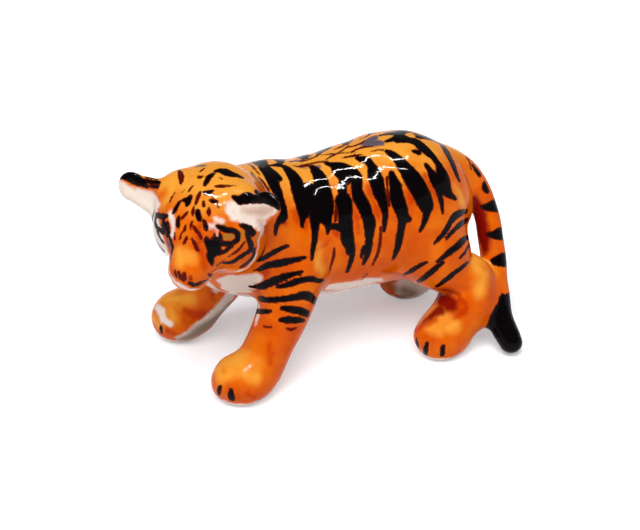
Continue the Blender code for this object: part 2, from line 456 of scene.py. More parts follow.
class CubForm:
    """The whole modelled clay body of the cub.

    The tail's fillet grows below hock_top, where the tail leans on the hock.
    """

    leg_fillet = 2.0
    ear_fillet = 0.9
    head_fillet = 1.8
    tail_fillet = 0.5
    hock_fillet = 1.3
    hock_top = 14.0
    hock_fade = 4.0

    def __init__(self) -> None:
        """Gather the body's masses."""
        self.trunk = Trunk()
        self.head = Head()
        self.tail = Tail()
        self.front_left = Leg(
            ((-5.6, -3.6, 24.5, 4.4), (-7.0, -5.7, 19.4, 5.3), (-9.2, -8.2, 13.5, 4.3),
             (-11.6, -9.4, 9.0, 3.7), (-14.4, -10.4, 4.8, 3.7)),
            (-17.5, -11.2, 3.4), (4.9, 4.4, 3.9))
        self.front_right = Leg(
            ((-6.6, 3.6, 24.5, 4.4), (-8.8, 5.7, 19.4, 5.3), (-12.6, 6.6, 13.5, 4.5),
             (-15.8, 7.6, 8.4, 3.9), (-18.0, 8.4, 5.4, 3.8)),
            (-20.3, 9.2, 3.7), (4.8, 4.5, 4.1))
        self.hind_left = Leg(
            ((11.6, -3.2, 24.2, 5.4), (13.9, -4.7, 19.8, 6.2), (16.3, -6.2, 15.8, 5.6),
             (18.4, -7.3, 12.8, 4.1), (21.3, -8.3, 10.6, 4.0), (20.8, -9.1, 7.2, 4.6),
             (17.8, -9.9, 4.6, 3.9)),
            (15.9, -10.9, 3.2), (4.5, 4.2, 3.7))
        self.hind_right = Leg(
            ((11.8, 3.2, 24.2, 5.4), (14.2, 4.7, 19.8, 6.2), (16.2, 6.2, 15.4, 5.4),
             (21.2, 7.2, 11.4, 4.5), (21.8, 7.8, 7.4, 4.5), (20.0, 8.0, 4.5, 3.8)),
            (18.0, 8.2, 3.2), (4.5, 4.2, 3.7))

    def legs(self) -> tuple:
        """Return the four legs."""
        return self.front_left, self.front_right, self.hind_left, self.hind_right

    def body(self, points: np.ndarray) -> np.ndarray:
        """Return the distance to the trunk and the legs.

        Args:
            points: The places, in mm.

        Returns:
            The signed distance, negative inside.
        """
        result = self.trunk.distance(points)
        for leg in self.legs():
            result = join_near(result, points, leg.distance, leg.bounds(), self.leg_fillet)
        return result

    def face(self, points: np.ndarray) -> np.ndarray:
        """Return the distance to the head with its ears.

        Args:
            points: The places, in mm.

        Returns:
            The signed distance, negative inside.
        """
        result = self.head.distance(points)
        for ear in self.head.ears:
            result = blend_union(result, ear.distance(points), self.ear_fillet)
        return result

    def distance(self, points: np.ndarray) -> np.ndarray:
        """Return the distance to the whole body, cut flat at the soles.

        Args:
            points: The places, in mm.

        Returns:
            The signed distance, negative inside.
        """
        result = self.body(points)
        result = join_near(result, points, self.face, self.head.bounds(), self.head_fillet)
        low = np.clip((self.hock_top - points[..., 2]) / self.hock_fade, 0.0, 1.0)
        fillet = self.tail_fillet + self.hock_fillet * low
        result = join_near(result, points, self.tail.distance, self.tail.bounds(), fillet)
        return np.maximum(result, -points[..., 2])

    def normal(self, points: np.ndarray, reach: float = 0.05) -> np.ndarray:
        """Return the outward normal by central differences of the distance.

        Args:
            points: The places, in mm.
            reach: How far apart the differences are taken, in mm.

        Returns:
            The unit normals.
        """
        steps = np.eye(3) * reach
        slopes = [self.distance(points + step) - self.distance(points - step)
                  for step in steps]
        return unit(np.stack(slopes, axis=-1) + 1e-12)

    def settle(self, points: np.ndarray, rounds: int) -> np.ndarray:
        """Move points straight onto the surface.

        Args:
            points: The places, in mm.
            rounds: How many times they are moved.

        Returns:
            The moved places.
        """
        for _ in range(rounds):
            points = points - self.normal(points) * self.distance(points)[..., None]
        return points


@dataclass
class Skin:
    """The clay's surface as a net of small squares.

    The grid's first corner is placed so that no edge of the net is shared by
    more than two squares. Margin is in coarse cells.
    """

    form: CubForm
    low: tuple = (-33.42, -18.5, -0.6)
    high: tuple = (30.5, 15.0, 38.0)
    step: float = 0.34
    coarse: int = 4
    margin: float = 1.3

    def samples(self) -> tuple:
        """Return the distances on the fine grid, and the grid's first corner.

        The whole space is sampled on a coarse grid. Fine points near the
        surface get their own distance, the rest the nearest coarse one.

        Returns:
            The distances and the first corner's place.
        """
        low = np.array(self.low)
        count = np.ceil((np.array(self.high) - low) / (self.step * self.coarse)).astype(int)
        edges = [low[i] + self.step * (np.arange(count[i] * self.coarse)) for i in range(3)]
        centre = 0.5 * (self.coarse - 1) * self.step
        rough = np.stack(np.meshgrid(*[edge[::self.coarse] + centre for edge in edges],
                                     indexing="ij"), axis=-1)
        field = self.form.distance(rough)
        for axis in range(3):
            field = np.repeat(field, self.coarse, axis=axis)
        near = np.abs(field) < self.margin * self.step * self.coarse
        where = np.argwhere(near)
        field[near] = self.form.distance(low + where * self.step)
        return field, low

    def net(self) -> tuple:
        """Find the surface between the samples.

        Each cell that the surface crosses gets one vertex, at the mean of the
        places where the distance is zero on its twelve edges. Each grid edge
        that the surface crosses gets one square between its four cells.

        Returns:
            The vertices in mm and the squares.
        """
        field, low = self.samples()
        shape = tuple(size - 1 for size in field.shape)
        corners = {}
        for i, j, k in np.ndindex(2, 2, 2):
            corners[i, j, k] = field[i:i + shape[0], j:j + shape[1], k:k + shape[2]]
        inside = sum((value < 0.0).astype(np.int8) for value in corners.values())
        active = (inside > 0) & (inside < 8)
        index = np.full(shape, -1, dtype=np.int64)
        index[active] = np.arange(int(active.sum()))
        cells = np.argwhere(active)
        total = np.zeros((len(cells), 3))
        number = np.zeros(len(cells))
        for axis in range(3):
            for corner in np.ndindex(2, 2, 2):
                if corner[axis]:
                    continue
                other = tuple(value + (place == axis) for place, value in enumerate(corner))
                a, b = corners[corner][active], corners[other][active]
                crosses = (a < 0.0) != (b < 0.0)
                share = np.where(crosses, a / np.where(crosses, a - b, 1.0), 0.0)
                place = np.tile(np.array(corner, dtype=float), (len(cells), 1))
                place[:, axis] += share
                total += place * crosses[:, None]
                number += crosses
        vertices = low + (cells + total / number[:, None]) * self.step
        squares = [self.squares(field, index, axis) for axis in range(3)]
        return vertices, np.vstack(squares)

    @staticmethod
    def squares(field: np.ndarray, index: np.ndarray, axis: int) -> np.ndarray:
        """Return the squares across the grid edges that run along one axis.

        Args:
            field: The distances on the grid.
            index: The vertex of each cell.
            axis: The axis of the edges.

        Returns:
            One row of four vertices per square, facing outwards.
        """
        one, two = (axis + 1) % 3, (axis + 2) % 3
        turned = np.transpose(field, (axis, one, two))
        cells = np.transpose(index, (axis, one, two))
        start, end = turned[:-1, 1:-1, 1:-1], turned[1:, 1:-1, 1:-1]
        ring = np.stack([cells[:, :-1, :-1], cells[:, 1:, :-1], cells[:, 1:, 1:],
                         cells[:, :-1, 1:]], axis=-1)
        leaving = (start < 0.0) & (end >= 0.0)
        entering = (start >= 0.0) & (end < 0.0)
        return np.vstack([ring[leaving], ring[entering][:, ::-1]])


@dataclass(frozen=True)
class View:
    """The place that the cub is looked at from, in the modeller's frame.

    Angles are in degrees, lengths in mm, the picture in pixels, and pixel is
    the width of one at the target. The last six values steer how lines of
    sight are walked: how far before and past the target they go, in how many
    steps, how long a step may be, its share of the distance that is left, and
    how near the surface counts as met.
    """

    azimuth: float = 22.0
    elevation: float = 30.0
    reach: float = 350.0
    pixel: float = 0.155
    width: int = 640
    height: int = 530
    middle: tuple = (322.0, 240.0)
    target: tuple = (0.0, 0.0, 18.0)
    before: float = 40.0
    past: float = 60.0
    rounds: int = 62
    longest: float = 2.4
    caution: float = 0.9
    met: float = 0.01

    def axes(self) -> np.ndarray:
        """Return the view's right, up and backward axes, one per row."""
        a, e = math.radians(self.azimuth), math.radians(self.elevation)
        right = np.array([math.cos(a), -math.sin(a), 0.0])
        up = np.array([math.sin(a) * math.sin(e), math.cos(a) * math.sin(e), math.cos(e)])
        back = np.array([-math.sin(a) * math.cos(e), -math.cos(a) * math.cos(e), math.sin(e)])
        return np.stack([right, up, back])

    def eye(self) -> np.ndarray:
        """Return the place of the eye, set so that the target falls on its pixel."""
        right, up, back = self.axes()
        across = (self.middle[0] - 0.5 * self.width) * self.pixel
        down = (self.middle[1] - 0.5 * self.height) * self.pixel
        return np.array(self.target) - across * right + down * up + self.reach * back

    def lens(self, sensor: float) -> float:
        """Return the focal length for a sensor as wide as the picture."""
        return sensor * self.reach / (self.pixel * self.width)

    def rays(self, places: np.ndarray) -> np.ndarray:
        """Return the lines of sight through places in the picture.

        Args:
            places: The places, in pixels.

        Returns:
            The unit directions from the eye.
        """
        right, up, back = self.axes()
        x = (places[:, :1] - 0.5 * self.width) * self.pixel
        y = (0.5 * self.height - places[:, 1:2]) * self.pixel
        return unit(x * right + y * up - self.reach * back)

    def touch(self, places: np.ndarray, distance: Callable) -> np.ndarray:
        """Find where lines of sight meet a surface.

        Each line is walked in steps of the distance that is left, at most a
        little over 2 mm. A line that misses stops where it comes closest.

        Args:
            places: Places in the picture, in pixels.
            distance: The surface's distance function.

        Returns:
            The points, in mm.
        """
        eye, rays = self.eye(), self.rays(places)
        gone = np.full(len(places), self.reach - self.before)
        best, nearest = gone.copy(), np.full(len(places), 1e9)
        for _ in range(self.rounds):
            gap = distance(eye + rays * gone[:, None])
            closer = gap < nearest
            best, nearest = np.where(closer, gone, best), np.where(closer, gap, nearest)
            stride = np.clip(gap, 0.0, self.longest) * self.caution
            gone = np.minimum(gone + stride + 0.004, self.reach + self.past)
            gone = np.where(nearest < self.met, best, gone)
        return eye + rays * best[:, None]


class Area(Enum):
    """Which mass a brush stroke lies on."""

    BODY = "body"
    LEG = "leg"
    FACE = "face"
    TAIL = "tail"


def read_rows(text: str) -> list:
    """Return the lines written in a text, one array of points each.

    Semicolons part the lines and commas their points. A point is its x and y
    in the picture and half the line's width, all in pixels.
    """
    return [np.array([point.split() for point in row.split(",")], dtype=float)
            for row in text.split(";")]


@dataclass(frozen=True)
class Stroke:
    """One pull of the brush. A twin is painted on the cub's other side too."""

    coat: Coat
    area: Area
    points: np.ndarray
    twin: bool = True


@dataclass(frozen=True)
class Pattern:
    """The brush strokes of one area in one colour, for read_rows."""

    coat: Coat
    area: Area
    rows: str
    twin: bool = True

    def strokes(self) -> list:
        """Return the strokes."""
        return [Stroke(self.coat, self.area, row, self.twin) for row in read_rows(self.rows)]


FLANK = Pattern(Coat.INK, Area.BODY, """
    262 160 4, 264 167 5.5, 269 175 6, 272 181 6.3, 275 187 6, 278 193 5, 281 200 3.6,
        283 206 3.4, 284 212 3.8, 283 217 5, 279 221 3, 276.5 227 2.4, 275.5 234 1.2;
    268 165 1, 276 165 1.8, 284 166.5 2.8, 289 171 4.8, 293 176 6, 296 181 7, 298 188 7.5,
        301 196 8.5, 303 204 8, 304 211 6.5, 303 218 3.2, 302 226.5 1;
    312 166.5 2.5, 316 171 5, 319 176 6.3, 321 182 7, 322 190 8.5, 324 199 9, 325 209 9,
        325 217 7, 328 224 3.4, 327.5 233 1;
    309 190 8, 312 200 9, 316 209 6.5, 315 216 5.6, 315 224 4.6, 315 233 3.6, 314.5 241 3,
        313.3 248 2.2, 312 259 1;
    325.5 163 1, 333 165 3.6, 341 166 4.5, 349 170 5.4, 354 175 6.8, 356.5 181 5.6, 357 188 5.3,
        358 195 6, 361 201 6.5, 364.5 208 6.6, 367 215 6, 369.5 222 6.3, 369.5 229 5.5,
        369.3 236 4.2, 369 243 3.8, 368.5 249 3, 368 254 2.2, 365.5 260 1.8, 363.5 264.5 0.9;
    336 170 4.5, 342 174 6.5, 346 179 6;
    365 247 2.4, 363 252 2, 361.5 257.5 0.9;
    342.5 184 4, 342.2 189 4.8, 343 195 4, 343.5 201 8, 345 208 7.6, 345.2 216 7, 346 224 7.2,
        347 232 6.5, 347.5 239 6.6, 350 246 5, 351.8 252 3.4, 352 257 2.4, 350.5 263 2,
        347.3 271.5 1;
    330 227 2, 336 226.5 3, 341 228 4;
    347 247 1.6, 347.5 253 0.9;
    357 157.5 1.6, 361 159 3.4, 366.5 160 4, 371 165 4, 373.5 171 5.8, 375.5 178 7.2, 377.5 185 7,
        379.2 192 6.4, 381.8 199 5.2, 383.8 206 4.2, 385 213 3, 385 220 2.2, 384 231 1;
    391.5 173.5 2.6, 393.5 180 4.6, 395.8 187 6.2, 396.5 194 6.8, 398 201 7.4, 400.5 208 7,
        402.5 215 6, 402.2 222 4.4, 401 230 3.5, 399.5 238 3.4, 398 246 3.3, 395.5 253 2,
        393.5 259 0.9;
    405 216 4, 409.5 220 1.8;
    387 151 1.8, 391 153.5 3.6, 396 157.5 4.8, 400 162 5.6, 404 167 7, 408 172 8, 411.5 177 9,
        415 182 9.4, 418.5 188 9.6, 421.5 194 9.2, 424.5 200 9, 426.5 205.5 7.8, 427 210 5.2,
        426 216 3.2, 424 223 2.2, 420.3 231 1;
    426 165 1.6, 429.5 170 3, 433 176 5, 436 182 6, 439 189 4.8, 440.5 196 3.3, 442 204 2.3,
        442.4 213 0.9;
    386 141.5 1, 393 139.5 3, 399 136 3.8, 402 131 4.4;
    397 141 2.8, 403 140.5 4, 410 140 5.2, 417 142.5 6.6, 422 147 6.6, 427 151.5 6.2,
        431.5 155.5 4.8, 435.5 160 4.2, 439 165 4.3, 441 171 6.4, 442.8 177 8.2, 444 183 9,
        446.5 189 7, 450 194 4, 455.5 198.5 1.2;
    413 151.5 1.4, 418.5 153 2.6;
    418 137 2.4, 426 138.3 2, 434 140.6 2.6, 441 145 4, 445.5 150.5 5.4, 449 156 5.2,
        451.8 162 4.8, 454.2 168 4, 456.5 174 3, 460.3 181 1""")

FLANK_LINES = Pattern(Coat.UMBER, Area.BODY, """
    251 172 1, 255 180 1.8, 260.5 189 1.4;
    246.5 163 0.8, 253 167 1, 257 172 0.8;
    259 178 1.2, 263 183 2.2, 268 190 2.4;
    381 227 1.2, 380.5 237 1.7, 379.5 246 1.8, 377.5 254 1.7, 374 262 1.3, 371 268 0.7;
    334 248 1.1, 333.6 256 1.6, 331.5 264 1.5, 329.2 272.5 0.8;
    336 201 1, 336.5 209 1.8, 336 217 1.8, 335 223 1;
    387 177 1.4, 387.3 188 1, 388.2 199 1.8, 389 206 1.4;
    341.5 158 0.8, 347 156.5 1.5, 355 155.5 1.5, 362 154.5 0.8;
    326 159.5 0.8, 333 155.5 1.2, 341 151 1, 349 145.5 0.8;
    351.5 151.5 0.8, 357 149 1.3, 364 147 1.7, 372 146.3 0.8;
    293.5 166 1, 300 167 1.4, 308 165.5 1.6;
    300 165 0.8, 310 163.8 1.2, 319 162 1.4, 328 162 1.2;
    371 152 0.7, 378 150 1, 384 150.3 1.4;
    462.5 160 0.8, 464.5 165 1.3, 465.5 171 0.8;
    362 280 0.6, 364 277 1.2, 367 274 0.8""")

THIGH = Pattern(Coat.INK, Area.BODY, """
    467.5 211 1.2, 461 212.5 2.6, 456 215.5 4.2, 451.5 220 3.8, 447.5 227 3, 442.5 235 2.2,
        434.8 243.5 0.9;
    468.5 219.5 1.2, 463 222.5 2.3, 457 227.5 2.2, 452 232.5 1.6, 446.3 238.5 0.8;
    468 236.5 1.4, 462 241.5 3.2, 456 247 3.4, 450 251.5 3.2, 444 256.5 2, 437.3 261.5 0.9;
    426.5 262 0.8, 419 266 1.8, 412 270.5 2, 404.5 275 0.9;
    443.5 262.5 0.9, 437 267 2.4, 430 273 2.8, 423.5 278 2.4, 418 282 0.9;
    468.5 262 0.9, 461 268.5 2.2, 454 274 2.8, 446 280 2.8, 436.3 287 1;
    468.8 245 0.8, 465 252 1, 459.5 258 0.8""")

SHOULDER = Pattern(Coat.INK, Area.LEG, """
    256.5 260 2, 262 258.5 3.2, 268 255.5 3, 276 251 2.2, 288 245.5 0.8;
    260 269 2.6, 265 266 3.8, 273 264 3.8, 281 263 3.8, 288 261.5 3.2, 295 260 2.2, 305 257.5 0.9;
    250 286.3 1.1, 256 286.8 2.2, 263 285.8 3.6, 270 282.5 3.8, 276 280 3.8, 283 277.3 3.2,
        290 275 2.2, 302 272 0.9;
    277 286.5 1.1, 283 286 1.8, 289 284.3 2.3, 296 281.8 2.8, 303 280 2.6, 311 279 2.4,
        318 280.5 1.8, 323.5 281 0.8;
    259 298.5 1.9, 268 300 2.2, 278 299.5 2.4, 288 298.5 2.8, 296 297 3.4, 303 295.5 4.2,
        309 296.5 4.4, 314 300 3, 317 302.5 1.6;
    282 308 1.4, 288 309 2.8, 295 310.2 3.4, 302 311.5 3.6, 308 314 2.6;
    280 320 1.3, 286 319.8 3, 293 320 3.6, 300 320.3 2.2, 304 320.5 0.9;
    256.5 311 1.6, 263 311.5 1.7, 271 311.3 0.8""")

SHOULDER_LINES = Pattern(Coat.UMBER, Area.LEG, """
    263 326 0.7, 267 327 1, 272 327 0.7;
    286 328 0.8, 291 329.5 1.6, 297 328 0.8;
    262 245 0.9, 262.6 250 1.3, 260.8 255 1.5, 258 258.5 1.8;
    258 269 2, 254 270.5 1.2""")

CLAWS_FRONT = Pattern(Coat.INK, Area.LEG, """
    221 385.5 0.8, 219.3 390 1.5, 218.5 394 1.2;
    231 390.5 1.8, 231 395 3.1, 231.5 399.5 2.6""")

CLAWS_FAR_FRONT = Pattern(Coat.INK, Area.LEG, """
    161 326.5 0.9, 161 329.5 1.4, 161.5 333 0.8""", twin=False)

CLAWS_HIND = Pattern(Coat.INK, Area.LEG, """
    416.3 339 0.9, 417 344 1.7, 418 349.5 1.2;
    427 343.5 1.1, 425.8 349 2.1, 425.3 354 2;
    443.3 346 1.1, 442.6 351 2.1, 442.4 355 1.8""")

TAIL_BANDS = Pattern(Coat.INK, Area.TAIL, """
    473 165.5 1.3, 476 170 2, 479.5 174.5 1.8;
    484.3 184 2, 485.3 188 3.8, 487.5 191 2;
    482 207 1.4, 487 207 3.6, 493 206 5.6, 498 205.5 6.6;
    488 234 1.6, 493 235 3.6, 499 234 6, 505 233.5 6.8;
    492.3 261 1.8, 497 261 4.6, 503 260 7, 508 259.5 7""", twin=False)

HEEL_MARK = Pattern(Coat.INK, Area.LEG, """
    488 322 1.2, 491 319.5 3, 495 316 4, 498 311 4, 499 303 3, 500 296 1.6""", twin=False)

FOREHEAD = Pattern(Coat.UMBER, Area.FACE, """
    179.3 170.5 1.3, 180.8 175.5 3.5, 181.3 180 2.5, 181 184.5 0.8;
    204 168.5 1.1, 200.5 171.5 1.3;
    198 176 1.2, 200 178 1.6, 202.5 176 1;
    214.5 186 0.8, 219 186 2.1, 226 186 1.7, 231 185.8 1.1, 236 186 0.6;
    219.5 177.5 0.8, 222.5 179 0.8;
    193 185.5 0.7, 191 188.5 1.2, 188.3 192 0.9;
    185.3 189.5 0.6, 182.3 193 1;
    175.2 192.5 0.6, 172 197 1, 169.6 202.5 0.9;
    200.3 191.5 0.9, 198.3 196.5 2, 196.5 201.5 1.7, 195.5 204 0.7;
    212.3 193 0.7, 212.8 197.3 0.9;
    216.5 202.5 0.9, 218.2 207 1;
    203.3 201 1.2, 203.8 206 1.4;
    208.6 208 0.9, 209 212 2.2, 209.4 216 0.8;
    193.8 206.5 0.8, 193 211 1.8, 192.4 215 1.1;
    187.8 211.5 0.9, 184.5 215.5 1.6, 181 219.5 0.8;
    192.4 221.5 0.9, 191.3 225.5 1.4, 190.3 229 0.8;
    186 225 0.8, 184.8 229 1.5, 183.3 231.5 0.9;
    182 232.5 0.8, 180.6 236 1, 180 239.5 0.7;
    193.8 225.5 0.8, 196 230 2, 199 233.5 1.6, 201.2 238 1.4, 202 241.5 0.8;
    174.4 232.5 0.7, 174.9 239 1.2;
    187.2 237 1.2, 185.2 241 1.6, 183.3 244 0.8;
    192.2 238.5 0.8, 194.5 243.5 1.9, 196.6 248 1.9, 198.2 251.5 0.8""", twin=False)

NOSE = Pattern(Coat.UMBER, Area.FACE, """
    174.8 271.5 1.6, 176 276 1.9;
    179 271.8 1.5, 180.3 278 2.3;
    184.3 273.5 1.7, 184.3 278 2.6, 183 281.5 1.3;
    190.5 275.5 0.8, 190.6 281 1;
    208 274 0.9, 212 276 1.7, 217 277 1.5, 222 275.7 1, 227 273 0.7;
    204 288.5 0.8, 209.3 286.3 1.3, 212 284.8 0.7;
    245 240.5 0.9, 243 244 1.4, 239.5 249 1.6, 235 253 1.6, 228.3 257.3 1;
    224 260.3 0.9, 220 263.5 1.1, 216.5 266 0.9;
    219 269.3 0.7, 223 269 0.8""", twin=False)

FACE_INK = Pattern(Coat.INK, Area.FACE, """
    213.3 173.7 0.8, 209.5 177 2.4, 206.8 180.5 1.8, 204.7 185 0.9;
    216 171 1.6, 221 170.5 3.8, 226 171.8 5.5, 231 173.5 4.8, 237 175 3, 242.5 177.3 1.3;
    190.7 196 0.9, 188.5 200 2.6, 187 205 1.1;
    183.6 199.8 1, 187 200.3 1.8;
    180.2 201.5 0.7, 177.5 205.5 1.5, 175.5 209.5 1.6, 173.6 213.5 0.9;
    204.3 192 0.9, 207.5 192.3 2.2, 212.3 190.3 0.9;
    210.3 199.8 0.8, 213.5 201.5 1.5, 216 201 0.9;
    197.6 210 0.8, 198 214 2.2, 199.5 219 1.5, 200.7 221 0.6;
    179 217 0.7, 178 221.5 1.3, 177.8 225 1.6, 178.6 227.3 0.6;
    204.3 221 0.9, 205.5 225 1.7, 206.6 229.5 0.9;
    190.5 284 1.5, 195 285.8 2.8, 200 284.4 3.5, 204.5 282.8 2.6, 208 281.5 1""", twin=False)

EYE_CORNER = Pattern(Coat.INK, Area.FACE, """
    206.3 238.5 1.1, 207 243 2.2;
    209 243 3, 212 246 5.6, 213.5 250 5.6, 212.5 254 4.4;
    209.5 254 2.4, 210.5 259 3, 212 264 0.9;
    214.3 234.8 0.8, 213.5 239.5 2;
    216 241 3.2, 217.5 246 3.6, 218 250 2.4, 219.5 253.5 1.6;
    240 225.3 1.1, 245 226.6 1.9, 250 229.5 2.9, 253 233.5 2.7""", twin=False)

EYE = Pattern(Coat.INK, Area.FACE, """
    217 226 1, 221.5 228 2, 227 229.8 2.2, 232.5 230.3 2.1, 236.5 232.5 2.2, 238 236.5 2.2,
        236.4 241 2.1, 231 243.6 1.9, 225 244 1.9, 219 244 2.4;
    231.5 246.8 1.2, 228 249.6 1.4, 223.5 252.5 1.3, 219 254 0.9;
    220 234 0.7, 220.3 238 1.5, 219.5 242 2;
    246.5 231 1, 247.5 236 1.9, 248.8 240 2.3, 250.5 244 2.6, 251.5 248.5 3, 249 251.5 2.4,
        244.5 254.5 1.9, 239 258.2 2.1, 234 261.5 1.9, 229 263 1.7, 224.3 263 1;
    254.3 249.5 1.5, 253.9 255 1.7, 250.5 259.5 2, 246 263.5 2.1, 241 267 1.2""")

EAR_INK = Pattern(Coat.INK, Area.FACE, """
    239.5 199.5 3.4, 245 198.5 5.4, 251 196.8 6, 258 196.3 6.4, 264 197 6.4, 270 199.3 5.6,
        275.5 203 4, 279.3 208 2.2;
    257 192.5 3, 264 192 4, 270 194.5 4.4, 276 199 4;
    233.5 197 1.1, 237.5 199 2.8, 240.5 202.5 2.2""", twin=False)

FAR_EAR_INK = Pattern(Coat.INK, Area.FACE, """
    121 175 3.6, 126 174.5 5.4, 132 177 5.8, 138 180.5 5, 143 183.5 3.2, 147 186 1.4;
    148 176.5 0.9, 157 178.5 1.8;
    145 180.5 1, 152 182 1.6, 159 182.5 1.4;
    151 186 0.8, 157.5 187 1.2""", twin=False)

FAR_CHEEK = Pattern(Coat.INK, Area.FACE, """
    163.7 215.5 0.9, 163.6 220 1.3, 165 225 1.5, 166 229 2.6, 167.5 232.5 2.8, 167 235.5 1.6;
    167.3 222.5 0.8, 167.4 228 1.4;
    169.5 237 0.9, 171.3 242 1.2, 172.6 247 1.3, 171.6 252 1.2, 170.4 258 0.7""", twin=False)

# The fifth row lays a painted highlight above the near eye in cream.
CREAM_FACE = Pattern(Coat.CREAM, Area.FACE, """
    231 207 4.4, 240 210 7, 250 211 10, 261 210 10, 270 208 7.4, 277 207 4.4;
    241 217 4, 250 220 7, 258 222 7, 262 230 3.6, 260 235 2;
    228.5 204 2.4, 230 211 4, 234 217 3.6;
    232 203.5 3, 236 207 5, 239 213 6, 243 219 5;
    217 220 2.6, 221 221 2.8;
    209.5 225.5 1.8, 213 225.5 2.2;
    217.4 229 1.2, 217.8 235 1.5;
    258.5 240 0.8, 259 247 0.9, 257 253 0.8, 255 258 1, 251 263 1.4, 246 268 1.8, 239 271.5 1.8;
    117 183 4, 122 189 7, 131 196 9, 141 203 9, 150 209 8, 156 213 6;
    137 191 3, 146 194 5, 153 199 6.4, 157 206 6;
    117 187 4, 122 194 5, 131 202 5, 141 209 5, 149 214 4;
    152.5 213 5, 152.5 222 6, 154.5 233 6.5, 158.5 244 6, 163 254 4;
    155 212 6, 155.5 222 8, 158 234 8.6, 163 246 7.4, 167 256 4, 168 264 2;
    171 214 3.6, 173 222 3.4, 172.5 230 2.8, 171 236 2;
    168.5 262 1.2, 168.5 269 1.4, 170.5 276 1.8, 174 281.5 2, 181 286 2.4, 189 289.5 2.4,
        198 291 2.6""", twin=False)

CREAM_BODY = Pattern(Coat.CREAM, Area.BODY, """
    331 287.5 7, 340 286.5 8, 350 285.5 8, 360 283.5 8, 369 281.5 7.4, 376 280 5, 382 281 2;
    226 285 6, 238 286 7.4, 250 286 6.4;
    221 281 5, 231 280 8.5, 244 280 9, 256 278 7;
    229 289 8, 240 291 7.4, 247 291 4.6""")

CREAM_LEGS = Pattern(Coat.CREAM, Area.LEG, """
    157 307 4, 161 312 5, 164 319 4.6, 170 324 3;
    233 293 5, 226 302 7, 218 312 8.6, 207 323 9, 194 333 8, 181 339 6;
    256.5 302 2, 258.5 309 2.4, 257 319 1.8, 256 325 1;
    228 406 1.6, 240 407.5 2, 252 406.5 2, 262 403 1.6""", twin=False)

